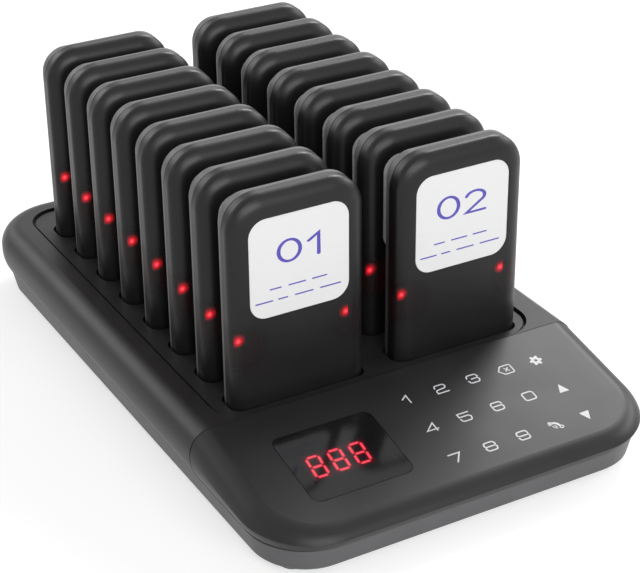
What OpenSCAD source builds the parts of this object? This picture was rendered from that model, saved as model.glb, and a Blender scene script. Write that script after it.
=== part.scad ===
// Guest pager system: a charging base with a touch panel and sixteen lift-out pagers.
// Millimetres, +Z up, origin at the centre of the base's footprint, on the table.

/* [Base] */
// Width of the base at its widest line
base_w = 152.6; // [146:0.2:170]
// Depth of the base at its widest line
base_d = 249; // [240:0.5:270]
// Corner radius of the base seen from above
corner_r = 25.5; // [24:0.5:30]
// Height of the flat rim above the table
rim_z = 28.5; // [27:0.5:34]
// Height of the joint between the two base covers
parting_z = 10.8; // [9:0.2:11]
// Radius that rounds the rim over into the sides
shoulder_r = 8; // [6:0.5:9]
// Slope of the touch panel in degrees
panel_tilt = 11.14; // [6:0.5:14]
// Wall thickness of the base covers
wall = 2.2; // [1.6:0.1:2.6]

/* [Pagers] */
// Number of pager rows
rows = 8; // [8:1:8]
// Distance between rows
row_pitch = 21; // [21:0.5:22]
// Distance between the two columns
col_pitch = 62.8; // [62:0.2:64]
// Width of one pager
pager_w = 50.2; // [47:0.2:50.4]
// Height of one pager
pager_h = 95.3; // [88:0.1:110]
// Corner radius of the front cover
front_corner_r = 12.5; // [10:0.5:14]
// Corner radius of the back cover
back_corner_r = 9.5; // [8:0.5:11]
// Side of the square label recess
label_w = 37.2; // [34:0.2:38]

/* [Tray] */
// Width of the slot for one pager
slot_w = 51.4; // [51:0.2:53]
// Length of the slot across the pager's thickness
slot_t = 13; // [12.8:0.2:13.2]
// Wall thickness of the tray and its pockets
tray_wall = 1.2; // [1:0.1:1.2]

/* [Panel] */
// Width of the display window
window_w = 37; // [34:0.5:40]
// Length of the display window down the slope
window_h = 31; // [28:0.5:34]
// Corner radius of the display window
window_r = 3; // [2:0.5:5]

/* [Hidden] */
BASE_NODES = [
    "base_top_cover", "base_bottom_cover", "charging_tray", "display_window",
    "display_module", "touch_board", "control_board", "charging_board",
    "contact_springs", "case_screws", "rubber_feet", "power_socket"];
function pager_name(number) = str("pager_", number < 10 ? "0" : "", number);
$fn = 48;

shell_colour = "#2b2b2e";
board_colour = "#1f6b3a";
steel_colour = "#b8bcc2";
rubber_colour = "#1a1a1a";
eps = 0.01;

// Base levels
nose_z = parting_z + 8.2;           // lowest line of the widest belt
nose_inset = 2.75;                  // how far the side tucks in down to the joint
nose_r = (pow(nose_inset, 2) + pow(nose_z - parting_z, 2)) / (2 * nose_inset);
foot_h = 1.5;                       // how far the feet lift the covers
floor_z = foot_h;
floor_t = 1.9;
joint_gap = 0.4;                    // shadow line between the covers
bend_y = -65.1;                     // line where the rim turns into the sloping panel

// Tray and pockets
tray_top_z = rim_z - 0.9;
tray_plate_t = 1.7;
tray_hx = 61.8;
tray_front_y = -63.3;
tray_back_y = 111.7;
tray_r = 11;
tray_gap = 1.2;                     // gap round the tray in the top cover
ledge_w = 2.2;
ledge_t = 1.6;
first_row_y = -54.1;
slot_r = 4.5;
pager_z = 8.2;                      // bottom of a pager that stands in its pocket
pocket_floor_z = pager_z - 0.3;
pocket_floor_t = 1.6;
board_t = 1.6;
charging_board_z = pocket_floor_z - pocket_floor_t - 0.2 - board_t;

// Pager section: y = 0 is the plane of its two lamps
led_z = 42.3;                       // lamps above the pager's bottom
front_y = -6;
seam_y = 0.8;
seam_gap = 0.35;
back_y = 6;
crown_w = 6.2;                      // width of the domed border round the front face
crown_r = 8;
edge_r = 2.6;
back_edge_r = 3;
back_inset = 0.8;                   // how far the back cover stands in from the front one
pager_wall = 1.6;
label_z = led_z + 9.2;              // lower edge of the label recess
label_r = 6.3;
label_depth = 0.35;
lamp_x = 20.4;
contact_x = 10;

// Panel layout, measured down the slope from the bend line
window_x = -35.1;
window_y = -(13.4 + window_h / 2);
window_t = 1.2;
digits_x = -36.3;
digits_y = -28.9;
keypad_x = 24.8;
keypad_y = -29.2;

screw_places = [[64.6, 66], [-64.6, 66], [64.6, -30], [-64.6, -30], [48.5, -109], [-48.5, -109]];
foot_places = [[56, 104], [-56, 104], [61, -107], [-61, -107]];
socket_x = 38;
socket_z = 16.2;
socket_mouth_y = base_d / 2 - 1.6;  // mouth of the inlet, just inside the rear wall

// ---------- shared shapes ----------

module rounded_rect(w, h, r) {
    square([w - 2 * r, h], center = true);
    square([w, h - 2 * r], center = true);
    for (sx = [-1, 1], sy = [-1, 1])
        translate([sx * (w / 2 - r), sy * (h / 2 - r)]) circle(r);
}

// A slab with round corners whose edge follows a half section. The section is drawn
// outward from the corner's centre, and the middle is filled between lo and hi.
module profiled_slab(hx, hy, r, lo, hi) {
    for (sx = [-1, 1], sy = [-1, 1])
        translate([sx * (hx - r), sy * (hy - r), 0]) rotate_extrude() children();
    for (turn = [0, 180])
        rotate([0, 0, turn]) translate([hx - r, 0, 0]) rotate([90, 0, 0])
            linear_extrude(2 * (hy - r), center = true) children();
    for (turn = [90, 270])
        rotate([0, 0, turn]) translate([hy - r, 0, 0]) rotate([90, 0, 0])
            linear_extrude(2 * (hx - r), center = true) children();
    translate([0, 0, (lo + hi) / 2])
        cube([2 * (hx - r) + 1, 2 * (hy - r) + 1, hi - lo], center = true);
}

// ---------- base covers ----------

// Half section of the base side between two levels, with the tucked-in belt below nose_z
module nose_section(r, low, top) {
    translate([0, nose_z]) square([r, top - nose_z]);
    intersection() {
        translate([r - nose_r, nose_z]) circle(nose_r);
        translate([0, low]) square([r + 1, nose_z - low]);
    }
    translate([0, low]) square([r - nose_r + 1, nose_z - low]);
}

// Half section with the rounded shoulder at the top and a straight side below
module shoulder_section(r, sr, top, low) {
    translate([0, low]) square([r - sr, top - low]);
    translate([0, low]) square([r, top - sr - low]);
    translate([r - sr, top - sr]) circle(sr);
}

// Moves its children to the slope: origin on the bend line, y up the slope, z out of it
module panel_frame() {
    translate([0, bend_y, rim_z]) rotate([panel_tilt, 0, 0]) children();
}

// Keeps the part of its children behind (way 1) or in front (way -1) of the bend line
module bend_side(way) {
    intersection() {
        children();
        translate([0, bend_y + way * base_d / 2, 0])
            cube([base_w + 2, base_d, 4 * rim_z], center = true);
    }
}

// Solid shape of the base above a level, shrunk by the inset. The part in front of the
// bend is a hair smaller, so that no surface of it runs along one of the part behind.
module base_form(inset, bottom) {
    hx = base_w / 2 - inset;
    hy = base_d / 2 - inset;
    r = corner_r - inset;
    sr = shoulder_r - inset;
    top = rim_z - inset;
    slope_len = 61.6 - inset;       // bend line to the front edge, down the slope
    behind = 90;                    // how far the sloped slab runs back past the bend
    low = -60;
    hair = 0.12;
    bend_side(1) profiled_slab(hx, hy, r, bottom, top) {
        shoulder_section(r, sr, top, nose_z);
        nose_section(r, bottom, top - sr);
    }
    bend_side(-1) intersection() {
        profiled_slab(hx - 2 * hair / 3, hy - 2 * hair / 3, r, bottom, rim_z + 1)
            nose_section(r, bottom, rim_z + 1);
        translate([0, bend_y, rim_z - hair]) rotate([panel_tilt, 0, 0])
            translate([0, (behind - slope_len) / 2, -inset])
                profiled_slab(hx - hair, (behind + slope_len) / 2, r, low, 0)
                    shoulder_section(r, sr, 0, low);
    }
}

module tray_outline(grow) {
    translate([0, (tray_front_y + tray_back_y) / 2])
        rounded_rect(2 * (tray_hx + grow), tray_back_y - tray_front_y + 2 * grow, tray_r + grow);
}

module screw_boss(z0, z1, r_out) {
    for (p = screw_places)
        translate([p[0], p[1], z0]) cylinder(h = z1 - z0, r = r_out);
}

module base_top_cover() {
    ledge_z = tray_top_z - tray_plate_t;
    pilot_r = 1.25;
    collar_t = 2;
    fitting_inset = 1;              // fittings inside the cover end within its wall
    color(shell_colour) difference() {
        union() {
            difference() {
                base_form(0, parting_z);
                base_form(wall, parting_z - 1);
            }
            intersection() {
                base_form(fitting_inset, parting_z);
                union() {
                    translate([0, 0, ledge_z - ledge_t])
                        linear_extrude(rim_z - ledge_z + ledge_t) tray_outline(tray_gap + collar_t);
                    screw_boss(6, rim_z, 3.6);
                }
            }
            screw_boss(6, parting_z + 1, 3.6);
        }
        translate([0, 0, ledge_z]) linear_extrude(10) tray_outline(tray_gap);
        translate([0, 0, ledge_z - ledge_t - 5])
            linear_extrude(ledge_t + 6) tray_outline(tray_gap - ledge_w);
        for (p = screw_places) translate([p[0], p[1], 5]) cylinder(h = 11, r = pilot_r);
        panel_frame() translate([window_x, window_y, -window_t])
            linear_extrude(5) rounded_rect(window_w + 0.4, window_h + 0.4, window_r + 0.2);
        panel_frame() translate([window_x, window_y, -6])
            linear_extrude(8) rounded_rect(window_w - 4, window_h - 4, window_r);
        translate([socket_x, base_d / 2 - 6, socket_z])
            rotate([-90, 0, 0]) cylinder(h = 12, r = 4.1);
    }
}

// Half section of the shallow lower cover, drafted towards the table
module pan_section(r, z0, z1) {
    draft = 1.7;
    low_r = 1.2;
    polygon([[0, z0], [r - draft - low_r, z0], [r - draft, z0 + low_r], [r, z1], [0, z1]]);
}

// Lower cover's form between two levels, shrunk by the inset; it is a little shorter than
// the upper cover, which overhangs it at the front and the back
module pan_form(inset, bottom, top) {
    tuck = nose_inset + 0.1 + inset;
    overhang = 0.9;
    r = corner_r - tuck - 1.4;
    profiled_slab(base_w / 2 - tuck, base_d / 2 - tuck - overhang, r, bottom, top)
        pan_section(r, bottom, top);
}

module base_bottom_cover() {
    lip_h = 2.2;
    lip_t = 1.2;
    lip_hx = base_w / 2 - nose_inset - wall - 0.3;
    lip_hy = base_d / 2 - nose_inset - wall - 0.3;
    lip_r = corner_r - nose_inset - wall - 0.3;
    color(shell_colour) difference() {
        union() {
            difference() {
                pan_form(0, floor_z, parting_z - joint_gap);
                pan_form(wall, floor_z + floor_t, parting_z - joint_gap + eps);
            }
            translate([0, 0, floor_z + floor_t]) linear_extrude(parting_z + lip_h - floor_z - floor_t)
                difference() {
                    rounded_rect(2 * lip_hx, 2 * lip_hy, lip_r);
                    rounded_rect(2 * (lip_hx - lip_t), 2 * (lip_hy - lip_t), lip_r - lip_t);
                }
            for (p = screw_places)
                translate([p[0], p[1], floor_z]) cylinder(h = 5.8 - floor_z, r = 4.4);
        }
        for (p = screw_places) translate([p[0], p[1], 0]) {
            cylinder(h = 4, r = 3);
            cylinder(h = 10, r = 1.7);
        }
        for (p = foot_places) translate([p[0], p[1], 0]) cylinder(h = floor_z + 0.5, r = 6.1);
        translate([socket_x, base_d / 2 - 10, parting_z + 4]) cube([13, 30, 8], center = true);
    }
}

// ---------- tray ----------

module at_slots() {
    for (row = [0 : rows - 1], side = [-1, 1])
        translate([side * col_pitch / 2, first_row_y + row * row_pitch, 0]) children();
}

module charging_tray() {
    plate_z = tray_top_z - tray_plate_t;
    pocket_z = pocket_floor_z - pocket_floor_t;
    color(shell_colour) difference() {
        union() {
            translate([0, 0, plate_z]) linear_extrude(tray_plate_t) tray_outline(0);
            translate([0, 0, plate_z - 0.4]) linear_extrude(1)
                difference() {
                    tray_outline(-3.2);
                    tray_outline(-4.4);
                }
            at_slots() translate([0, 0, pocket_z]) linear_extrude(tray_top_z - pocket_z - 0.5)
                rounded_rect(slot_w + 2 * tray_wall, slot_t + 2 * tray_wall, slot_r + tray_wall);
        }
        at_slots() translate([0, 0, pocket_floor_z]) linear_extrude(rim_z)
            rounded_rect(slot_w, slot_t, slot_r);
        at_slots() for (sx = [-1, 1]) translate([sx * contact_x, 3, 0])
            cube([5.2, 2.6, 40], center = true);
    }
}

// ---------- panel parts ----------

module display_window() {
    color("#15151a") panel_frame() translate([window_x, window_y, -window_t])
        linear_extrude(window_t - 0.1) rounded_rect(window_w, window_h, window_r);
}

module display_module() {
    body_w = 24.6;
    body_h = 14.4;
    body_t = 6;
    color("#26262a") panel_frame() translate([digits_x, digits_y, -window_t - 0.3 - body_t]) {
        translate([-body_w / 2, -body_h / 2, 0]) cube([body_w, body_h, body_t]);
        for (i = [-5 : 5], sy = [-1, 1])
            translate([i * 2, sy * 5, 0]) cube([0.5, 0.5, 0.8], center = true);
    }
}

module touch_board() {
    color(board_colour) difference() {
        panel_frame() {
            translate([keypad_x, keypad_y, -wall - 1.4]) linear_extrude(1) rounded_rect(66, 44, 2);
            translate([window_x, window_y, -9.7]) linear_extrude(board_t) rounded_rect(40, 34, 2);
        }
        for (p = screw_places) translate([p[0], p[1], 0]) cylinder(h = rim_z, r = 4.2);
    }
}

module control_board() {
    board_z = 4.5;
    color(board_colour) translate([0, -90, board_z]) linear_extrude(board_t)
        rounded_rect(84, 40, 3);
    color("#303236") translate([12, -88, board_z + board_t + 0.8])
        cube([12, 12, 1.6], center = true);
    color("#303236") translate([-14, -84, board_z + board_t + 0.6])
        cube([8, 5, 1.2], center = true);
    color(steel_colour) translate([34, -96, board_z + board_t + 1.5])
        cube([12, 4, 3], center = true);
    color("#c8953a") translate([10, -102, board_z + board_t + 3]) rotate([0, 90, 0])
        difference() {
            cylinder(h = 14, r = 3, center = true);
            cylinder(h = 16, r = 2.2, center = true);
        }
}

module charging_board() {
    color(board_colour) translate([0, 26.5, charging_board_z]) linear_extrude(board_t)
        difference() {
            rounded_rect(114, 172, 3);
            for (sy = [-1, 1]) translate([0, sy * 60]) circle(2);
        }
}

module power_socket() {
    body = 11;
    depth = 14.2;
    face_y = base_d / 2 - wall - 2.6;
    bore_l = 10;
    low = charging_board_z + board_t;
    color("#202024") difference() {
        union() {
            translate([socket_x - body / 2, face_y - depth, socket_z - body / 2]) cube([body, depth, body]);
            translate([socket_x, socket_mouth_y, socket_z])
                rotate([90, 0, 0]) cylinder(h = socket_mouth_y - face_y + 1, r = 3.9);
        }
        translate([socket_x, socket_mouth_y + 1, socket_z]) rotate([90, 0, 0]) cylinder(h = bore_l + 1, r = 3.2);
    }
    color(steel_colour) translate([socket_x, socket_mouth_y - 0.6, socket_z])
        rotate([90, 0, 0]) cylinder(h = bore_l, r = 1.05);
    color(steel_colour) for (sx = [-1, 1])
        translate([socket_x + sx * 3, face_y - depth + 3, (low + socket_z - body / 2) / 2])
            cube([1, 1, socket_z - body / 2 - low], center = true);
}

// A bent strip spring under each pager contact
module contact_springs() {
    strip = 0.4;
    low = charging_board_z + board_t;
    tip = pager_z - 0.1;
    color("#d0a84a") at_slots() for (sx = [-1, 1]) translate([sx * contact_x, 3, low]) {
        translate([-2, -1, 0]) cube([4, 2, strip]);
        translate([1.6, -1, 0]) cube([strip, 2, tip - low]);
        translate([-2, -1, tip - low - strip]) cube([4, 2, strip]);
    }
}

module case_screws() {
    head_z = 2;
    color(steel_colour) for (p = screw_places) translate([p[0], p[1], head_z]) {
        difference() {
            cylinder(h = 2, r = 2.8);
            for (turn = [0, 90]) rotate([0, 0, turn])
                cube([3.2, 0.7, 2], center = true);
        }
        cylinder(h = 12, r = 1.25);
    }
}

module rubber_feet() {
    color(rubber_colour) for (p = foot_places) translate([p[0], p[1], 0]) {
        cylinder(h = 0.8, r1 = 5.3, r2 = 6);
        translate([0, 0, 0.8 - eps]) cylinder(h = floor_z + 0.5 - 0.8 + eps, r = 6);
    }
}

// ---------- pagers ----------

// Puts children, drawn flat with x across, y up and z towards the back, at a pager's place
module at_pager(number) {
    row = floor((number - 1) / 2);
    side = number % 2 == 1 ? -1 : 1;
    translate([side * col_pitch / 2, first_row_y + row * row_pitch, pager_z + pager_h / 2])
        rotate([90, 0, 0]) mirror([0, 0, 1]) children();
}

module front_section() {
    r = front_corner_r;
    crown_y = front_y + crown_r;
    edge_y = crown_y - sqrt(pow(crown_r - edge_r, 2) - pow(crown_w - edge_r, 2));
    tangent_x = r - crown_w + (crown_w - edge_r) * crown_r / (crown_r - edge_r);
    translate([0, front_y]) square([r - crown_w, seam_y - front_y]);
    intersection() {
        translate([r - crown_w, crown_y]) circle(crown_r);
        translate([0, front_y]) square([tangent_x, seam_y - front_y]);
    }
    translate([r - edge_r, edge_y]) circle(edge_r);
    translate([0, edge_y]) square([r, seam_y - edge_y]);
}

module pager_front_cover(number) {
    deep_inset = 2 * (crown_w - 1);
    color(shell_colour) at_pager(number) difference() {
        profiled_slab(pager_w / 2, pager_h / 2, front_corner_r, front_y, seam_y) front_section();
        translate([0, 0, -2.6]) linear_extrude(10)
            rounded_rect(pager_w - 2 * pager_wall, pager_h - 2 * pager_wall, front_corner_r - pager_wall);
        translate([0, 0, -4.5]) linear_extrude(10)
            rounded_rect(pager_w - deep_inset, pager_h - deep_inset, front_corner_r - deep_inset / 2);
        translate([0, label_z + (label_w - 1) / 2 - pager_h / 2, front_y - 1])
            linear_extrude(1 + label_depth) rounded_rect(label_w, label_w - 1, label_r);
    }
}

module back_section() {
    r = back_corner_r;
    y0 = seam_y + seam_gap;
    translate([0, y0]) square([r - back_edge_r, back_y - y0]);
    translate([0, y0]) square([r, back_y - back_edge_r - y0]);
    intersection() {
        translate([r - back_edge_r, back_y - back_edge_r]) circle(back_edge_r);
        translate([0, y0]) square([r, back_y - y0]);
    }
}

module pager_back_cover(number) {
    y0 = seam_y + seam_gap;
    tongue = 1;
    inner_w = pager_w - 2 * pager_wall - 0.2;
    inner_h = pager_h - 2 * pager_wall - 0.2;
    inner_r = front_corner_r - pager_wall - 0.1;
    color(shell_colour) at_pager(number) difference() {
        union() {
            profiled_slab(pager_w / 2 - back_inset, pager_h / 2 - back_inset, back_corner_r, y0, back_y)
                back_section();
            translate([0, 0, -0.6]) linear_extrude(y0 + 1.6) rounded_rect(inner_w, inner_h, inner_r);
        }
        translate([0, 0, -2]) linear_extrude(back_y - 1.4 + 2)
            rounded_rect(inner_w - 2 * tongue, inner_h - 2 * tongue, inner_r - tongue);
        for (sx = [-1, 1]) translate([sx * contact_x, -pager_h / 2, 3])
            cube([4.6, 8, 2.2], center = true);
    }
}

module pager_works(number) {
    board_w = 42.4;
    board_h = 80;
    lift = 2 - pager_h / 2;
    board_y = 0.9;
    board_thick = 1;
    lamp_y = led_z - pager_h / 2;
    at_pager(number) {
        color(board_colour) translate([0, 0, board_y]) linear_extrude(board_thick)
            rounded_rect(board_w, board_h, 5);
        color("#c8ccd0") translate([0, 10, -1.85]) cube([30, 42, 4.3], center = true);
        color("#b8bcc2") translate([9, -25, board_y - 1.6]) cylinder(h = 2.8, r = 5, center = true);
        color("#303236") translate([-8, -24, board_y - 0.6]) cube([8, 8, 1], center = true);
        color("#f04050") for (sx = [-1, 1]) translate([sx * (lamp_x - 0.6), lamp_y, board_y - 0.25])
            cube([2.4, 3, 0.7], center = true);
        color("#d0a84a") for (sx = [-1, 1]) translate([sx * contact_x, lift + 2.35, 3])
            cube([4, 8.3, 1.6], center = true);
        color("#d0a84a") for (sx = [-1, 1]) translate([sx * contact_x, lift + 6, 2.2])
            cube([4, 1, 0.7], center = true);
    }
}

base_top_cover();
base_bottom_cover();
charging_tray();
display_window();
display_module();
touch_board();
control_board();
charging_board();
contact_springs();
case_screws();
rubber_feet();
power_socket();
for (number = [1 : 2 * rows]) {
    pager_front_cover(number);
    pager_back_cover(number);
    pager_works(number);
}
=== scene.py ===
"""Looks of the guest pager system: materials, labels, legends, lamps and studio round the CAD frame."""
import math

import bmesh
import bpy
from mathutils import Matrix, Vector


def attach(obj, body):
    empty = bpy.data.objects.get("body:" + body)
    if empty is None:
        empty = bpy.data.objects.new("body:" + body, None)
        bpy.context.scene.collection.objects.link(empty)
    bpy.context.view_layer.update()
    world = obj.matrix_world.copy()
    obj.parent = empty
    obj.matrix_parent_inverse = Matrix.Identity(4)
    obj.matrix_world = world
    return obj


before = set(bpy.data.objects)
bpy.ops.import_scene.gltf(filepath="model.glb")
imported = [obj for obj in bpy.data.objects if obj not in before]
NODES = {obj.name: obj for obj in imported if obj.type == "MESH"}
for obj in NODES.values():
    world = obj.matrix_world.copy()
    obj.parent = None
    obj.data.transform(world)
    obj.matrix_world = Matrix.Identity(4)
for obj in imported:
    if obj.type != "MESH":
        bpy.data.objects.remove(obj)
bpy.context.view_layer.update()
MM = 0.001

# ---------- places, in millimetres ----------
TILT = math.radians(11.14)          # slope of the touch panel
BEND_Y, RIM_Z = -65.1, 28.5         # where the panel starts to slope down from the rim
COL_X = 31.4                        # the two columns of pagers stand this far from the middle
FIRST_ROW_Y, ROW_PITCH = -54.1, 21.0
PAGERS = 16
LAMP_X, LAMP_Y, LAMP_Z = 20.4, 0.25, 50.5
LABEL_W, LABEL_H, LABEL_R = 36.9, 35.9, 6.15
LABEL_MID_Z = 77.8
LABEL_BACK_Y, LABEL_FRONT_Y = -5.66, -5.8

PANEL = Matrix.Translation(Vector((0, BEND_Y, RIM_Z)) * MM) @ Matrix.Rotation(TILT, 4, "X")


def pager_name(number):
    return f"pager_{number:02d}"


def pager_matrix(number):
    """From a pager's own frame, x across, y back and z up from the table, to the row frame."""
    side = -1 if number % 2 else 1
    row = (number - 1) // 2
    return Matrix.Translation(Vector((side * COL_X, FIRST_ROW_Y + row * ROW_PITCH, 0)) * MM)


# ---------- material helpers ----------
PATTERN_LOW, PATTERN_HIGH = 0.3, 0.7    # the part of a noise pattern's height that is put to use


class Nodes:
    """A new node material with its Principled shader, and short ways to add nodes."""

    def __init__(self, name):
        self.material = bpy.data.materials.new(name)
        self.material.use_nodes = True
        self.tree = self.material.node_tree
        self.shader = self.tree.nodes["Principled BSDF"]
        self.output = self.tree.nodes["Material Output"]
        self.coord = self.add("ShaderNodeTexCoord").outputs["Object"]

    def add(self, kind, **values):
        node = self.tree.nodes.new(kind)
        for key, value in values.items():
            setattr(node, key, value)
        return node

    def link(self, source, target):
        self.tree.links.new(source, target)

    def math(self, operation, first, second=None):
        node = self.add("ShaderNodeMath", operation=operation)
        self.feed(node.inputs[0], first)
        if second is not None:
            self.feed(node.inputs[1], second)
        return node.outputs[0]

    def feed(self, socket, value):
        """Sets a socket to a number, or links an output to it."""
        if isinstance(value, (int, float)):
            socket.default_value = value
        else:
            self.link(value, socket)

    def noise(self, scale, detail=2.0, stretch=None):
        node = self.add("ShaderNodeTexNoise")
        node.inputs["Scale"].default_value = scale
        node.inputs["Detail"].default_value = detail
        source = self.coord
        if stretch:
            mapping = self.add("ShaderNodeMapping")
            mapping.inputs["Scale"].default_value = stretch
            self.link(self.coord, mapping.inputs["Vector"])
            source = mapping.outputs[0]
        self.link(source, node.inputs["Vector"])
        return node.outputs["Fac"]

    def ramp(self, value, low, high, out_low, out_high, smooth=False):
        node = self.add("ShaderNodeMapRange")
        node.interpolation_type = "SMOOTHSTEP" if smooth else "LINEAR"
        for key, number in zip(("From Min", "From Max", "To Min", "To Max"), (low, high, out_low, out_high)):
            node.inputs[key].default_value = number
        self.link(value, node.inputs["Value"])
        return node.outputs[0]

    def spread(self, pattern, first, second):
        """A pattern's usual height brought to run from first to second."""
        return self.ramp(pattern, PATTERN_LOW, PATTERN_HIGH, first, second)

    def blend(self, factor, first, second):
        node = self.add("ShaderNodeMix", data_type="RGBA")
        self.link(factor, node.inputs["Factor"])
        node.inputs["A"].default_value = (*first, 1.0)
        node.inputs["B"].default_value = (*second, 1.0)
        return node.outputs["Result"]

    def base_colour(self, share, first, second):
        self.link(self.blend(share, first, second), self.shader.inputs["Base Color"])

    def roughness(self, source):
        self.link(source, self.shader.inputs["Roughness"])

    def bump(self, height, strength, distance):
        node = self.add("ShaderNodeBump")
        node.inputs["Strength"].default_value = strength
        node.inputs["Distance"].default_value = distance
        self.link(height, node.inputs["Height"])
        self.link(node.outputs[0], self.shader.inputs["Normal"])


# ---------- materials ----------
SHELL_SPECULAR = 0.30               # the plastics are only lightly glossy when seen straight on
DRIFT_SCALE = 38                    # slow change of colour over a moulding
WANDER_SCALE, WANDER = 85, 0.012    # slow change of its roughness
GRAIN_DEPTH = 0.000012              # metres
BLACK_LO, BLACK_HI = (0.0105, 0.0105, 0.0112), (0.0150, 0.0150, 0.0158)
PAGER_LO, PAGER_HI = (0.0075, 0.0075, 0.0080), (0.0110, 0.0110, 0.0116)
# pager backs: painted highlight, a mid-grey that stands in for the bright reflections along their black
# edges
BACK_SHEEN_LO, BACK_SHEEN_HI = (0.125, 0.126, 0.126), (0.145, 0.146, 0.146)
# base's lower cover: black plastic made grey here as a painted reflection of the white floor
LOWER_SHEEN_LO, LOWER_SHEEN_HI = (0.125, 0.125, 0.130), (0.150, 0.150, 0.155)
LAMP_RED = (1.0, 0.012, 0.035)

# Distances in metres from a lamp: over the first the shell is given a painted red glow, over the second it
# turns partly see-through.
GLOW_PAINT_NEAR, GLOW_PAINT_FAR, GLOW_PAINT_STRENGTH = 0.0040, 0.0125, 0.004
CLEAR_NEAR, CLEAR_FAR, CLEAR_SHARE = 0.0078, 0.0118, 0.16


def moulded(name, dark, light, rough, grain=5200, strength=0.25):
    """Moulded plastic: fine eroded grain, slow colour drift and a roughness that wanders a little."""
    m = Nodes(name)
    drift = m.noise(DRIFT_SCALE, 3)
    fine = m.noise(grain, 2)
    m.base_colour(m.ramp(drift, 0.35, 0.65, 0, 1), dark, light)
    wander = m.spread(m.noise(WANDER_SCALE, 2), -WANDER, WANDER)
    m.roughness(m.math("ADD", wander, m.spread(fine, rough - 0.02, rough + 0.02)))
    m.bump(fine, strength, GRAIN_DEPTH)
    m.shader.inputs["Specular IOR Level"].default_value = SHELL_SPECULAR
    return m


def metal(name, colour, rough):
    """Plated metal with a fine uneven finish."""
    m = Nodes(name)
    finish = m.noise(900, 3)
    m.base_colour(m.spread(finish, 0, 1), tuple(0.8 * c for c in colour), colour)
    m.roughness(m.spread(finish, rough - 0.06, rough + 0.08))
    m.shader.inputs["Metallic"].default_value = 1.0
    m.bump(finish, 0.15, 0.00001)
    return m.material


def lamp_distance(m):
    """Distance in metres from a point on a pager to the nearest of its two lamps."""
    split = m.add("ShaderNodeSeparateXYZ")
    m.link(m.coord, split.inputs[0])
    from_column = m.math("ABSOLUTE", m.math("SUBTRACT", m.math("ABSOLUTE", split.outputs[0]), COL_X * MM))
    dx = m.math("SUBTRACT", from_column, LAMP_X * MM)
    from_first_row = m.math("SUBTRACT", split.outputs[1], (FIRST_ROW_Y + LAMP_Y) * MM)
    half_pitch = ROW_PITCH * MM / 2
    wrap = m.add("ShaderNodeMath", operation="WRAP")
    for socket, value in zip(wrap.inputs, (from_first_row, half_pitch, -half_pitch)):
        m.feed(socket, value)
    dz = m.math("SUBTRACT", split.outputs[2], LAMP_Z * MM)
    join = m.add("ShaderNodeCombineXYZ")
    for socket, value in zip(join.inputs, (dx, wrap.outputs[0], dz)):
        m.link(value, socket)
    length = m.add("ShaderNodeVectorMath", operation="LENGTH")
    m.link(join.outputs[0], length.inputs[0])
    return length.outputs["Value"]


def pager_front_material():
    """Black shell with a painted red glow round each lamp, and partly see-through close to them so the lamps
    behind show.
    """
    m = moulded("pager_front_shell", PAGER_LO, PAGER_HI, 0.33)
    away = lamp_distance(m)
    # painted glow: the shell itself emits red round each lamp, fading with distance
    m.shader.inputs["Emission Color"].default_value = (*LAMP_RED, 1)
    m.link(m.ramp(away, GLOW_PAINT_NEAR, GLOW_PAINT_FAR, GLOW_PAINT_STRENGTH, 0.0, smooth=True),
           m.shader.inputs["Emission Strength"])
    clear = m.add("ShaderNodeBsdfTransparent")
    clear.inputs[0].default_value = (1.0, 0.8, 0.8, 1)
    mix = m.add("ShaderNodeMixShader")
    m.link(m.ramp(away, CLEAR_NEAR, CLEAR_FAR, CLEAR_SHARE, 0.0, smooth=True), mix.inputs[0])
    m.link(m.shader.outputs[0], mix.inputs[1])
    m.link(clear.outputs[0], mix.inputs[2])
    m.link(mix.outputs[0], m.output.inputs["Surface"])
    return m.material


def window_material():
    """Smoked acrylic: clear enough for the lit digits, dark for what lies behind."""
    m = Nodes("smoked_acrylic")
    film = m.noise(60, 2)
    m.base_colour(m.spread(film, 0, 1), (0.006, 0.006, 0.007), (0.009, 0.009, 0.010))
    m.roughness(m.spread(film, 0.08, 0.11))
    m.shader.inputs["Alpha"].default_value = 0.82
    return m.material


def board_material():
    """Black solder mask with a faint net of copper tracks under it."""
    m = Nodes("black_solder_mask")
    tracks = m.add("ShaderNodeTexBrick")
    tracks.inputs["Scale"].default_value = 260
    tracks.inputs["Color1"].default_value = (0.006, 0.010, 0.008, 1)
    tracks.inputs["Color2"].default_value = (0.008, 0.013, 0.010, 1)
    tracks.inputs["Mortar"].default_value = (0.014, 0.022, 0.016, 1)
    m.link(m.coord, tracks.inputs["Vector"])
    m.link(tracks.outputs["Color"], m.shader.inputs["Base Color"])
    m.roughness(m.spread(m.noise(400), 0.3, 0.42))
    return m.material


def glow_material(name, attribute, edge, core, strength, base=(0.01, 0.002, 0.003)):
    """Light whose colour runs from edge to core, and whose strength follows a point attribute."""
    m = Nodes(name)
    share = m.add("ShaderNodeAttribute", attribute_name=attribute).outputs["Fac"]
    m.base_colour(m.noise(2000), base, tuple(1.4 * c for c in base))
    m.link(m.blend(m.math("POWER", share, 2.2), edge, core), m.shader.inputs["Emission Color"])
    m.link(m.math("MULTIPLY", share, strength), m.shader.inputs["Emission Strength"])
    m.shader.inputs["Roughness"].default_value = 0.5
    return m.material


def printed(name, colour, rough):
    """Screen-printed ink: a thin film with small pinholes of density."""
    m = Nodes(name)
    worn = m.noise(2600, 2)
    m.base_colour(m.ramp(worn, PATTERN_LOW, 0.75, 0, 1), colour, tuple(0.88 * c for c in colour))
    m.roughness(m.spread(worn, rough - 0.05, rough + 0.08))
    m.bump(worn, 0.1, 0.000008)
    return m.material


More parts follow.
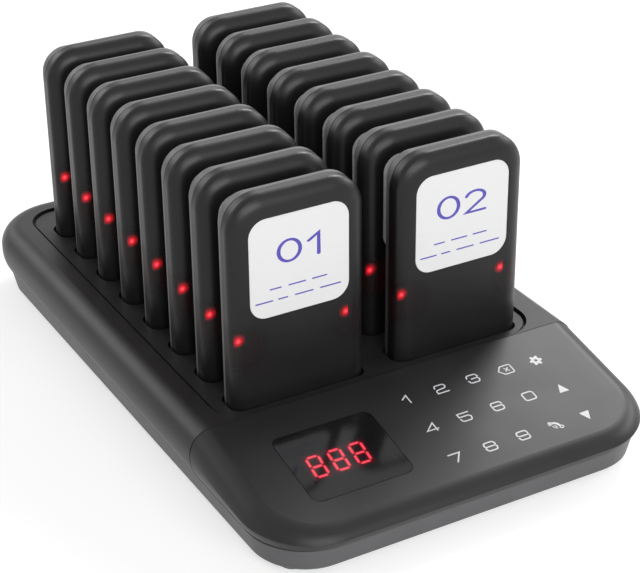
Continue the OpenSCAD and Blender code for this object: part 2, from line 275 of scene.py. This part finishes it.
def label_material():
    """White satin vinyl with a faint paper fibre under its film."""
    m = Nodes("label_vinyl")
    fibre = m.noise(1500, 4, (1, 1, 2.2))
    m.base_colour(m.spread(fibre, 0, 1), (0.89, 0.89, 0.90), (0.93, 0.93, 0.935))
    m.roughness(m.spread(m.noise(240), 0.38, 0.5))
    m.bump(fibre, 0.08, 0.00001)
    return m.material


def set_material(names, material):
    for name in names:
        slots = NODES[name].data.materials
        for index in range(len(slots)):
            slots[index] = material
        if not slots:
            slots.append(material)


# ---------- mesh helpers ----------
def piece(name, mesh, material, body, smooth=False):
    mesh.name = name
    obj = bpy.data.objects.new(name, mesh)
    bpy.context.scene.collection.objects.link(obj)
    mesh.materials.clear()
    mesh.materials.append(material)
    for polygon in mesh.polygons:
        polygon.use_smooth = smooth
    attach(obj, body)
    return obj


def mesh_of(bm, matrix):
    """A mesh in metres, in the row frame, from a bmesh drawn in millimetres."""
    bmesh.ops.recalc_face_normals(bm, faces=bm.faces)
    bm.transform(matrix @ Matrix.Scale(MM, 4))
    mesh = bpy.data.meshes.new("piece")
    bm.to_mesh(mesh)
    bm.free()
    return mesh


def merge(target, source):
    """Adds one bmesh to another and frees it."""
    mesh = bpy.data.meshes.new("part")
    source.to_mesh(mesh)
    source.free()
    target.from_mesh(mesh)
    bpy.data.meshes.remove(mesh)


def arc(cx, cy, r, start, end, steps=8):
    """Points on a circle from one angle to another, both ends included."""
    angles = [math.radians(start + (end - start) * k / steps) for k in range(steps + 1)]
    return [(cx + r * math.cos(a), cy + r * math.sin(a)) for a in angles]


def oval(cx, cy, rx, ry, start=0, end=360, steps=28):
    """Points on an ellipse from one angle to another; a full turn leaves its last point out."""
    count = steps if abs(end - start) == 360 else steps + 1
    angles = [math.radians(start + (end - start) * k / steps) for k in range(count)]
    return [(cx + rx * math.cos(a), cy + ry * math.sin(a)) for a in angles]


def round_corner_loop(w, h, r, steps=10):
    """Outline of a rectangle with rounded corners, round the origin."""
    x, y = w / 2 - r, h / 2 - r
    corners = ((x, y, 0), (-x, y, 90), (-x, -y, 180), (x, -y, 270))
    return [point for cx, cy, start in corners for point in arc(cx, cy, r, start, start + 90, steps)]


def add_prism(bm, loops):
    """Closed solid through loops of equal length, each a list of 3-D points."""
    rings = [[bm.verts.new(p) for p in loop] for loop in loops]
    for low, high in zip(rings, rings[1:]):
        for k in range(len(low)):
            j = (k + 1) % len(low)
            bm.faces.new((low[k], low[j], high[j], high[k]))
    bm.faces.new(rings[0][::-1])
    bm.faces.new(rings[-1])


def add_plate(bm, outline, low, high):
    """Flat solid between two heights with the 2-D outline, drawn in x and y."""
    add_prism(bm, [[(x, y, z) for x, y in outline] for z in (low, high)])


def add_ring(bm, outer, inner, low, high):
    """Flat solid between an outer and an inner outline with as many points."""
    loops = [[bm.verts.new((x, y, z)) for x, y in loop]
             for loop, z in ((outer, low), (outer, high), (inner, high), (inner, low))]
    for a, b in zip(loops, loops[1:] + loops[:1]):
        for k in range(len(a)):
            j = (k + 1) % len(a)
            bm.faces.new((a[k], a[j], b[j], b[k]))


def across(p, q, width):
    """Half a stroke's width, square to the line from p to q and to its left."""
    d = (q - p).normalized()
    return Vector((-d.y, d.x)) * (width / 2)


def mitre(first, second, width, least):
    """The same where two runs meet, kept from growing long at a sharp corner."""
    n = (first + second).normalized()
    return n * ((width / 2) / max(least, n.dot(first.normalized())))


def round_end(centre, start, width):
    """Points of the half circle that closes a stroke, between its two last corners."""
    base = math.atan2(start[1] - centre[1], start[0] - centre[0])
    angles = [base - math.pi * k / 6 for k in range(1, 6)]
    return [(centre[0] + width / 2 * math.cos(a), centre[1] + width / 2 * math.sin(a)) for a in angles]


def add_stroke(bm, points, width, low, high, closed=False):
    """Flat ribbon along a path, with mitred joints and, on an open path, round ends."""
    path = [Vector(p) for p in points]
    left, right = [], []
    for k, b in enumerate(path):
        before, after = path[k - 1], path[(k + 1) % len(path)]
        if closed:
            n = mitre(across(before, b, width), across(b, after, width), width, 0.5)
        elif k == 0:
            n = across(b, after, width)
        elif k == len(path) - 1:
            n = across(before, b, width)
        else:
            n = mitre(across(before, b, width), across(b, after, width), width, 0.45)
        left.append(tuple(b + n))
        right.append(tuple(b - n))
    if closed:
        add_ring(bm, right, left, low, high)
        return
    far_end, near_end = round_end(path[-1], left[-1], width), round_end(path[0], right[0], width)
    add_plate(bm, left + far_end + right[::-1] + near_end, low, high)


# ---------- materials on the CAD nodes ----------
BASE_BLACK = moulded("base_shell_black", BLACK_LO, BLACK_HI, 0.40).material
TRAY_BLACK = moulded("tray_black", BLACK_LO, BLACK_HI, 0.46, grain=3800, strength=0.4).material
# grey pager backs: painted sheen in place of the light their black edges reflect
BACK_SHEEN_GREY = moulded("pager_back_shell_painted_sheen", BACK_SHEEN_LO, BACK_SHEEN_HI, 0.42).material
# grey lower cover: painted reflection of the floor on black plastic
LOWER_SHEEN_GREY = moulded("base_lower_shell_painted_sheen", LOWER_SHEEN_LO, LOWER_SHEEN_HI, 0.5, grain=3000, strength=0.5).material
SOCKET_BLACK = moulded("socket_black", (0.008, 0.008, 0.008), (0.013, 0.013, 0.013), 0.5).material
RUBBER = moulded("rubber_black", (0.012, 0.012, 0.012), (0.02, 0.02, 0.02), 0.78,
                 grain=2600, strength=0.5).material
BOARD = board_material()
FRONT_SHELL = pager_front_material()

set_material(["base_top_cover"], BASE_BLACK)
set_material(["base_bottom_cover"], LOWER_SHEEN_GREY)
set_material(["charging_tray"], TRAY_BLACK)
set_material(["display_window"], window_material())
set_material(["display_module", "power_socket"], SOCKET_BLACK)
set_material(["touch_board", "control_board", "charging_board"], BOARD)
set_material(["contact_springs"], metal("gilded_spring", (0.80, 0.58, 0.24), 0.3))
set_material(["case_screws"], metal("zinc_screw", (0.62, 0.63, 0.65), 0.32))
set_material(["rubber_feet"], RUBBER)
for number in range(1, PAGERS + 1):
    set_material([f"{pager_name(number)}_front_cover"], FRONT_SHELL)
    set_material([f"{pager_name(number)}_back_cover"], BACK_SHEEN_GREY)
    set_material([f"{pager_name(number)}_works"], BOARD)

# ---------- labels ----------
NUMBER_MID_Z = 82.5                 # middle of the printed number
NUMBER_X = -0.3                     # the number sits a little left of the label's middle
PRINT_T = 0.02                      # thickness of the ink
FIGURE_WIDEN = 1.62                 # the figures are drawn upright, then stretched sideways
FIGURE_STROKE = 0.86
FIGURE_GAP = 1.75
BAR_H = 0.5
BAR_ROWS = (                        # plain bars under the number: height, then from and to in x
    (69.9, ((-11.2, -6.8), (-4.3, 2.2), (4.4, 10.2))),
    (65.7, ((-16.6, -10.0), (-8.2, -4.5), (-2.0, 5.0), (7.4, 15.4))),
)
VINYL = label_material()
INK = printed("label_ink", (0.105, 0.085, 0.52), 0.4)


def figure(sign):
    """Centre-lines of a printed figure 7.7 mm tall round its own middle: (points, closed) pairs."""
    top = 3.85
    six = [(oval(0, -1.5, 2.3, 2.35), True), (oval(1.35, -0.9, 3.65, 4.75, 180, 98, 12), False)]
    bowl = oval(-0.1, -1.35, 2.35, 2.5, 126, -150, 20)
    paths = {
        "0": [(oval(0, 0, 2.45, top), True)],
        "1": [([(-1.7, 1.6), (0.6, 3.75), (0.6, -top)], False)],
        "2": [(oval(0, 1.6, 2.3, 2.25, 165, -32, 18) + [(-2.2, -top), (2.45, -top)], False)],
        "3": [(oval(-0.1, 1.95, 2.1, 1.9, 150, -90, 18), False),
              (oval(-0.1, -1.9, 2.35, 1.95, 90, -150, 18), False)],
        "4": [([(1.1, -top), (1.1, 3.7), (-2.4, -1.6), (2.6, -1.6)], False)],
        "5": [([(2.0, top), (-1.7, top), (-2.0, 0.6)] + bowl, False)],
        "6": six,
        "7": [([(-2.4, top), (2.4, top), (-0.8, -top)], False)],
        "8": [(oval(0, 2.0, 1.95, 1.85), True), (oval(0, -1.85, 2.4, 2.0), True)],
        "9": [([(-x, -y) for x, y in points], closed) for points, closed in six],
    }
    return paths[sign]


def add_number(bm, text):
    """The label's number, upright in x and z on the label's face, centred on NUMBER_X."""
    spans = []
    for sign in text:
        xs = [x for points, closed in figure(sign) for x, y in points]
        spans.append((min(xs) - FIGURE_STROKE / 2, max(xs) + FIGURE_STROKE / 2))
    total = sum(high - low for low, high in spans) * FIGURE_WIDEN + FIGURE_GAP * (len(text) - 1)
    left = NUMBER_X - total / 2
    flat = bmesh.new()
    for sign, (low, high) in zip(text, spans):
        part = bmesh.new()
        for points, closed in figure(sign):
            add_stroke(part, points, FIGURE_STROKE, -PRINT_T / 2, PRINT_T / 2, closed)
        for v in part.verts:
            v.co.x = left + (v.co.x - low) * FIGURE_WIDEN
        left += (high - low) * FIGURE_WIDEN + FIGURE_GAP
        merge(flat, part)
    for v in flat.verts:
        x, y, z = v.co
        v.co = (x, LABEL_FRONT_Y - PRINT_T / 2 + z, NUMBER_MID_Z + y)
    merge(bm, flat)


def add_bars(bm):
    for z, spans in BAR_ROWS:
        for x0, x1 in spans:
            bar = round_corner_loop(x1 - x0, BAR_H, BAR_H / 2 - 0.01, 5)
            middle = (x0 + x1) / 2
            add_prism(bm, [[(middle + dx, y, z + dz) for dx, dz in bar]
                           for y in (LABEL_FRONT_Y, LABEL_FRONT_Y - PRINT_T)])


def make_label(number):
    """A sticker with softly broken edges, and the ink on it."""
    place, name = pager_matrix(number), pager_name(number)
    bm = bmesh.new()
    loops = []
    for grow, y in ((-0.02, LABEL_BACK_Y), (0.0, LABEL_BACK_Y - 0.02),
                    (0.0, LABEL_FRONT_Y + 0.03), (-0.03, LABEL_FRONT_Y)):
        outline = round_corner_loop(LABEL_W + 2 * grow, LABEL_H + 2 * grow, LABEL_R + grow)
        loops.append([(x, y, LABEL_MID_Z + z) for x, z in outline])
    add_prism(bm, loops)
    piece(f"{name}_label", mesh_of(bm, place), VINYL, name)

    bm = bmesh.new()
    add_number(bm, f"{number:02d}")
    add_bars(bm)
    piece(f"{name}_label_print", mesh_of(bm, place), INK, name)


# ---------- lamps ----------
GLOW_R = 2.9                        # radius of a lamp's lens
GLOW_DEPTH = 0.45                   # how far the lens is domed
GLOW_SKIRT = 0.15                   # straight edge behind the dome
CORE_R, CORE_SHARE = 0.62, 0.78     # the bright middle of the glow
HALO_R, HALO_SHARE = 1.75, 0.22     # and the wide part round it
LAMP_GLOW = glow_material("lamp_glow", "glow", LAMP_RED, (1.0, 0.075, 0.105), 130.0)


def add_glow_cap(bm, layer, cx, cz, rings=14, steps=28):
    """Shallow lens facing the front whose glow fades from its middle to its rim."""
    centre = bm.verts.new((cx, LAMP_Y - GLOW_DEPTH, cz))
    centre[layer] = 1.0
    previous = None
    for k in range(1, rings + 1):
        r = GLOW_R * k / rings
        fade = CORE_SHARE * math.exp(-(r / CORE_R) ** 2) + HALO_SHARE * math.exp(-(r / HALO_R) ** 2)
        y = LAMP_Y - GLOW_DEPTH * (1 - (r / GLOW_R) ** 2)
        ring = []
        for j in range(steps):
            a = 2 * math.pi * j / steps
            v = bm.verts.new((cx + r * math.cos(a), y, cz + r * math.sin(a)))
            v[layer] = fade * (1 - (r / GLOW_R) ** 4)
            ring.append(v)
        for j in range(steps):
            i = (j + 1) % steps
            if previous is None:
                bm.faces.new((centre, ring[j], ring[i]))
            else:
                bm.faces.new((previous[j], ring[j], ring[i], previous[i]))
        previous = ring
    back = [bm.verts.new((v.co.x, LAMP_Y + GLOW_SKIRT, v.co.z)) for v in previous]
    for j in range(steps):
        i = (j + 1) % steps
        bm.faces.new((previous[j], back[j], back[i], previous[i]))
    bm.faces.new(back)


def make_lamps(number):
    bm = bmesh.new()
    layer = bm.verts.layers.float.new("glow")
    for side in (-1, 1):
        add_glow_cap(bm, layer, side * LAMP_X, LAMP_Z)
    name = pager_name(number)
    mesh = mesh_of(bm, pager_matrix(number))
    piece(f"{name}_lamp_lenses", mesh, LAMP_GLOW, name, smooth=True)


for number in range(1, PAGERS + 1):
    make_label(number)
    make_lamps(number)

# ---------- keypad legends, in the panel's own frame ----------
KEY_X = (-1.4, 11.9, 24.9, 37.8, 50.5)
KEY_Y = (-14.1, -29.4, -45.0)
KEY_ROWS = ("123", "4560", "789")
GLYPH_W, GLYPH_H, GLYPH_R, STROKE = 4.3, 3.8, 1.05, 0.52
LEGEND_LOW, LEGEND_HIGH = -0.30, -0.09


def glyph(sign):
    """Strokes of a squarish thin digit round its own middle: (points, closed) pairs."""
    w, h, r = GLYPH_W / 2, GLYPH_H / 2, GLYPH_R
    q = min(r, h / 2 - 0.05)
    top_right = arc(w - r, h - q, q, 90, 0, 5)
    top_left = arc(r - w, h - q, q, 90, 180, 5)
    low_right = arc(w - r, q - h, q, 0, -90, 5)
    low_left = arc(r - w, q - h, q, 180, 270, 5)
    low_bend = low_right + low_left[::-1]
    flag, stem = h - 1.2, 0.5 * w + 0.3
    paths = {
        "0": [(round_corner_loop(GLYPH_W, GLYPH_H, 0.9, 5), True)],
        "1": [([(-1.8, h - 1.5), (0.3, h), (0.3, -h)], False)],
        "2": [([(-w, flag)] + top_left[::-1] + top_right + arc(w - r, q, q, 0, -90, 4)
               + [(-w + 0.4, -0.35), (-w, -0.8), (-w, -h), (w, -h)], False)],
        "3": [([(-w, flag)] + top_left[::-1] + top_right + [(w, 0.8), (w - 0.5, 0.0), (-0.6, 0.0)], False),
              ([(w - 0.5, 0.0), (w, -0.7)] + low_bend + [(-w, -flag)], False)],
        "4": [([(stem, -h), (stem, h), (-w, -0.55 * h), (w, -0.55 * h)], False)],
        "5": [([(w, h), (-w, h), (-w, 0.35), (w - 0.8, 0.35), (w, -0.3)] + low_bend
               + [(-w, -flag)], False)],
        "6": [([(w, h - 1.1)] + top_right[::-1] + top_left + low_left + low_right[::-1]
               + [(w, -0.4), (w - 0.6, 0.15), (-w, 0.15)], False)],
        "7": [([(-w, h), (w, h), (-0.6, -h)], False)],
        "8": [(arc(w - r, h - q, q, 90, 0, 4) + [(w, 0.6), (w - 0.6, 0), (0.6 - w, 0), (-w, 0.6)]
               + top_left[::-1], True),
              ([(w - 0.6, 0), (w, -0.6)] + low_bend + [(-w, -0.6), (0.6 - w, 0)], False)],
        "9": [([(-w, 1.1 - h)] + low_left + low_right[::-1] + top_right[::-1] + top_left
               + [(-w, 0.4), (0.6 - w, -0.15), (w, -0.15)], False)],
    }
    return paths[sign]


def add_legend(bm, paths, cx, cy, width=STROKE):
    for points, closed in paths:
        add_stroke(bm, [(cx + x, cy + y) for x, y in points], width, LEGEND_LOW, LEGEND_HIGH, closed)


def add_backspace(bm, cx, cy):
    """A pointed frame with a small cross."""
    nose_low, nose_high = [(-0.9, -2.05), (-1.3, -1.85)], [(-1.3, 1.85), (-0.9, 2.05)]
    corners = arc(2.2, 1.45, 0.6, 90, 0, 4) + arc(2.2, -1.45, 0.6, 0, -90, 4)
    add_legend(bm, [([(-2.75, 0)] + nose_high + corners + nose_low, True)], cx, cy, 0.46)
    cross = [([(-0.1, 0.75), (1.3, -0.75)], False), ([(-0.1, -0.75), (1.3, 0.75)], False)]
    add_legend(bm, cross, cx, cy, 0.42)


def add_gear(bm, cx, cy, teeth=6, steps=72):
    """Soft teeth round a hole."""
    mid_r, tooth, hole_r, sharpness = 2.05, 0.38, 0.62, 1.6
    outer, inner = [], []
    for k in range(steps):
        a = 2 * math.pi * k / steps
        wave = math.tanh(sharpness * math.cos(teeth * a)) / math.tanh(sharpness)
        r = mid_r + tooth * wave
        outer.append((cx + r * math.cos(a), cy + r * math.sin(a)))
        inner.append((cx + hole_r * math.cos(a), cy + hole_r * math.sin(a)))
    add_ring(bm, outer, inner, LEGEND_LOW, LEGEND_HIGH)


def add_triangle(bm, cx, cy, way):
    """An arrowhead with blunted corners that points up or down the panel."""
    half_w, tip, foot, blunt = 1.95, 2.1, 2.0, 0.3
    corners = [(cx, cy + way * tip), (cx - half_w, cy - way * foot), (cx + half_w, cy - way * foot)]
    if way < 0:
        corners.reverse()
    outline = []
    for k in range(3):
        a, b, c = (Vector(corners[i % 3]) for i in (k - 1, k, k + 1))
        for t in (0.0, 0.5, 1.0):
            p = b + (a - b).normalized() * blunt * (1 - t) + (c - b).normalized() * blunt * t
            outline.append(tuple(p + (b - p) * 0.35 * (1 - abs(2 * t - 1))))
    add_plate(bm, outline, LEGEND_LOW, LEGEND_HIGH)


def add_handset(bm, cx, cy):
    """A bowed handset with ring-shaped ends, and two waves."""
    add_legend(bm, [(arc(-0.9, -0.75, 1.95, 128, 12, 10), False)], cx, cy, 0.95)
    for end_x, end_y in ((-1.6, 1.25), (1.45, -1.35)):
        add_legend(bm, [(arc(end_x, end_y, 0.62, 0, 337.5, 15), True)], cx, cy, 0.44)
    for wave_r in (0.75, 1.55):
        add_legend(bm, [(arc(0.1, 0.1, wave_r, 190, 260, 6), False)], cx, cy, 0.36)


def make_legends():
    bm = bmesh.new()
    for y, signs in zip(KEY_Y, KEY_ROWS):
        for x, sign in zip(KEY_X, signs):
            add_legend(bm, glyph(sign), x, y)
    add_backspace(bm, KEY_X[3], KEY_Y[0] - 0.6)
    add_gear(bm, KEY_X[4] + 0.1, KEY_Y[0] - 0.7)
    add_triangle(bm, KEY_X[4], KEY_Y[1] - 1.1, 1)
    add_triangle(bm, KEY_X[4], KEY_Y[2] - 0.6, -1)
    add_handset(bm, KEY_X[3] + 0.15, KEY_Y[2] - 0.3)
    ink = printed("legend_ink", (0.66, 0.66, 0.68), 0.5)
    piece("keypad_legends", mesh_of(bm, PANEL), ink, "base")


make_legends()

# ---------- display digits, in the panel's own frame ----------
DIGIT_X = (-44.25, -36.35, -28.45)
DIGIT_Y = -28.9
DIGIT_HALF_W, DIGIT_HALF_H = 2.2, 4.5
SLANT = 0.075
FACE_DEPTH = -1.5                   # face of the display module below the panel
SEG_W = 1.15
SEG_GAP = 0.22
RIM_TIP_GLOW, RIM_SIDE_GLOW, FOOT_GLOW = 0.35, 0.30, 0.2
HALO_STEP, HALO_REACH = 0.35, 1.15
HALO_MARGIN_X, HALO_MARGIN_Y = 4.6, 6.6


def segment_lines():
    """The two ends of every lit segment."""
    w, h = DIGIT_HALF_W, DIGIT_HALF_H
    ends = [((-w, h), (w, h)), ((-w, 0), (w, 0)), ((-w, -h), (w, -h)),
            ((-w, h), (-w, 0)), ((w, h), (w, 0)), ((-w, 0), (-w, -h)), ((w, 0), (w, -h))]
    lines = []
    for cx in DIGIT_X:
        for pair in ends:
            lines.append(tuple(Vector((cx + x + SLANT * y, DIGIT_Y + y)) for x, y in pair))
    return lines


def make_segments(lines):
    """Hexagonal bars, brightest along their middle."""
    bm = bmesh.new()
    layer = bm.verts.layers.float.new("glow")
    low, high = FACE_DEPTH + 0.03, FACE_DEPTH + 0.10
    for p, q in lines:
        d = (q - p).normalized()
        n = Vector((-d.y, d.x)) * SEG_W / 2
        a, b = p + d * SEG_GAP, q - d * SEG_GAP
        a2, b2 = a + d * SEG_W / 2, b - d * SEG_W / 2
        rim = [bm.verts.new((*v, high)) for v in (a, a2 + n, b2 + n, b, b2 - n, a2 - n)]
        for k, v in enumerate(rim):
            v[layer] = RIM_SIDE_GLOW if k % 3 else RIM_TIP_GLOW
        core = [bm.verts.new((*v, high)) for v in (a2, b2)]
        for v in core:
            v[layer] = 1.0
        for loop in ((rim[0], rim[1], core[0]), (rim[1], rim[2], core[1], core[0]),
                     (rim[2], rim[3], core[1]), (rim[3], rim[4], core[1]),
                     (rim[4], rim[5], core[0], core[1]), (rim[5], rim[0], core[0])):
            bm.faces.new(loop)
        foot = [bm.verts.new((v.co.x, v.co.y, low)) for v in rim]
        for v in foot:
            v[layer] = FOOT_GLOW
        for k in range(6):
            j = (k + 1) % 6
            bm.faces.new((rim[k], rim[j], foot[j], foot[k]))
        bm.faces.new(foot)
    lit = glow_material("segment_glow", "glow", (1.0, 0.02, 0.06), (1.0, 0.085, 0.12), 46.0)
    piece("display_digits", mesh_of(bm, PANEL), lit, "base")


def distance_to_lines(point, lines):
    near = math.inf
    for p, q in lines:
        d = q - p
        t = max(0.0, min(1.0, (point - p).dot(d) / d.length_squared))
        near = min(near, (p + d * t - point).length)
    return near


def make_face(lines):
    """The display's dark face, with the soft light that the segments throw on it."""
    bm = bmesh.new()
    layer = bm.verts.layers.float.new("halo")
    x0, x1 = DIGIT_X[0] - HALO_MARGIN_X, DIGIT_X[-1] + HALO_MARGIN_X
    y0, y1 = DIGIT_Y - HALO_MARGIN_Y, DIGIT_Y + HALO_MARGIN_Y
    nx, ny = int((x1 - x0) / HALO_STEP), int((y1 - y0) / HALO_STEP)
    grid = {}
    for i in range(nx + 1):
        for j in range(ny + 1):
            x, y = x0 + (x1 - x0) * i / nx, y0 + (y1 - y0) * j / ny
            v = bm.verts.new((x, y, FACE_DEPTH + 0.02))
            v[layer] = math.exp(-(distance_to_lines(Vector((x, y)), lines) / HALO_REACH) ** 2)
            grid[i, j] = v
    for i in range(nx):
        for j in range(ny):
            bm.faces.new((grid[i, j], grid[i + 1, j], grid[i + 1, j + 1], grid[i, j + 1]))
    halo = glow_material("segment_halo", "halo", (0.9, 0.0, 0.03), (1.0, 0.02, 0.08), 2.4,
                         base=(0.006, 0.006, 0.007))
    piece("display_face", mesh_of(bm, PANEL), halo, "base")


SEGMENTS = segment_lines()
make_segments(SEGMENTS)
make_face(SEGMENTS)

# ---------- camera ----------
LENS, SENSOR_W = 104.56, 36.0
CAM_PLACE = Vector((-0.28557, -0.52750, 0.35730))
CAM_RIGHT = Vector((0.870227, -0.492564, -0.009261))
CAM_DOWN = Vector((-0.242313, -0.411583, -0.878569))
CAM_AHEAD = Vector((0.428940, 0.766799, -0.477526))


def make_camera():
    data = bpy.data.cameras.new("camera")
    data.sensor_width = SENSOR_W
    data.lens = LENS
    data.clip_start, data.clip_end = 0.02, 50.0
    obj = bpy.data.objects.new("camera", data)
    bpy.context.scene.collection.objects.link(obj)
    turn = Matrix((CAM_RIGHT, -CAM_DOWN, -CAM_AHEAD)).transposed().to_4x4()
    obj.matrix_world = Matrix.Translation(CAM_PLACE) @ turn
    bpy.context.scene.camera = obj


make_camera()

# ---------- floor, world and lamps ----------
FLOOR_HALF = 4000.0                 # millimetres
FLOOR_GREY = (0.52, 0.52, 0.52), (0.54, 0.54, 0.54)
FLOOR_GLOW = 0.60                   # seen by the camera and in gloss, on top of the lamps' light
AMBIENT, BACKDROP = 0.42, 1.0       # the world as a light, and as the white seen behind the object
MIDDLE = (0, 0, 0.05)
SOFTBOXES = (                       # name, place, target, size, power
    ("key_softbox", (0.98, 0.62, 1.02), (0, 0, 0.03), (0.55, 0.55), 11.0),
    ("right_softbox", (1.25, -0.10, 0.62), (0, 0, 0.04), (0.9, 0.5), 7.0),
    ("crown_softbox", (0.66, 1.05, 0.80), (0, 0, 0.09), (0.6, 0.3), 1.3),
    ("front_softbox", (-0.1, -1.4, 0.75), (0, 0, 0.06), (1.2, 0.6), 12.0),
    ("left_softbox", (-1.2, 0.1, 0.55), MIDDLE, (0.8, 0.5), 0.5),
    ("rear_softbox", (-0.55, 1.15, 0.75), (0, 0, 0.08), (0.9, 0.5), 4.0),
)


def any_seen_ray(tree):
    """1 for camera, glossy and transmission rays, 0 for the rays that only bring light."""
    path = tree.nodes.new("ShaderNodeLightPath")
    source = path.outputs["Is Camera Ray"]
    for ray in ("Is Glossy Ray", "Is Transmission Ray"):
        either = tree.nodes.new("ShaderNodeMath")
        either.operation = "MAXIMUM"
        tree.links.new(source, either.inputs[0])
        tree.links.new(path.outputs[ray], either.inputs[1])
        source = either.outputs[0]
    return source


def make_floor():
    bm = bmesh.new()
    half = FLOOR_HALF
    corners = ((-half, -half), (half, -half), (half, half), (-half, half))
    bm.faces.new([bm.verts.new((x, y, 0)) for x, y in corners])
    mesh = mesh_of(bm, Matrix.Identity(4))
    mesh.name = "studio_floor"
    obj = bpy.data.objects.new("studio_floor", mesh)
    bpy.context.scene.collection.objects.link(obj)
    m = Nodes("studio_floor")
    m.base_colour(m.noise(3), *FLOOR_GREY)
    m.shader.inputs["Roughness"].default_value = 0.9
    m.shader.inputs["Specular IOR Level"].default_value = 0.0
    glow = m.add("ShaderNodeEmission")
    m.link(m.math("MULTIPLY", any_seen_ray(m.tree), FLOOR_GLOW), glow.inputs["Strength"])
    both = m.add("ShaderNodeAddShader")
    m.link(m.shader.outputs[0], both.inputs[0])
    m.link(glow.outputs[0], both.inputs[1])
    m.link(both.outputs[0], m.output.inputs["Surface"])
    mesh.materials.append(m.material)


def make_world():
    world = bpy.data.worlds.new("studio")
    world.use_nodes = True
    bpy.context.scene.world = world
    tree = world.node_tree
    back = tree.nodes["Background"]
    level = tree.nodes.new("ShaderNodeMapRange")
    tree.links.new(any_seen_ray(tree), level.inputs["Value"])
    level.inputs["To Min"].default_value = AMBIENT
    level.inputs["To Max"].default_value = BACKDROP
    tree.links.new(level.outputs[0], back.inputs["Strength"])
    back.inputs["Color"].default_value = (1, 1, 1, 1)


def area_lamp(name, place, target, size, power):
    data = bpy.data.lights.new(name, "AREA")
    data.shape = "RECTANGLE"
    data.size, data.size_y = size
    data.energy = power
    obj = bpy.data.objects.new(name, data)
    bpy.context.scene.collection.objects.link(obj)
    obj.location = place
    obj.rotation_mode = "QUATERNION"
    obj.rotation_quaternion = (Vector(target) - Vector(place)).to_track_quat("-Z", "Y")


make_floor()
make_world()
for softbox in SOFTBOXES:
    area_lamp(*softbox)

scene = bpy.context.scene
scene.view_settings.view_transform = "Standard"
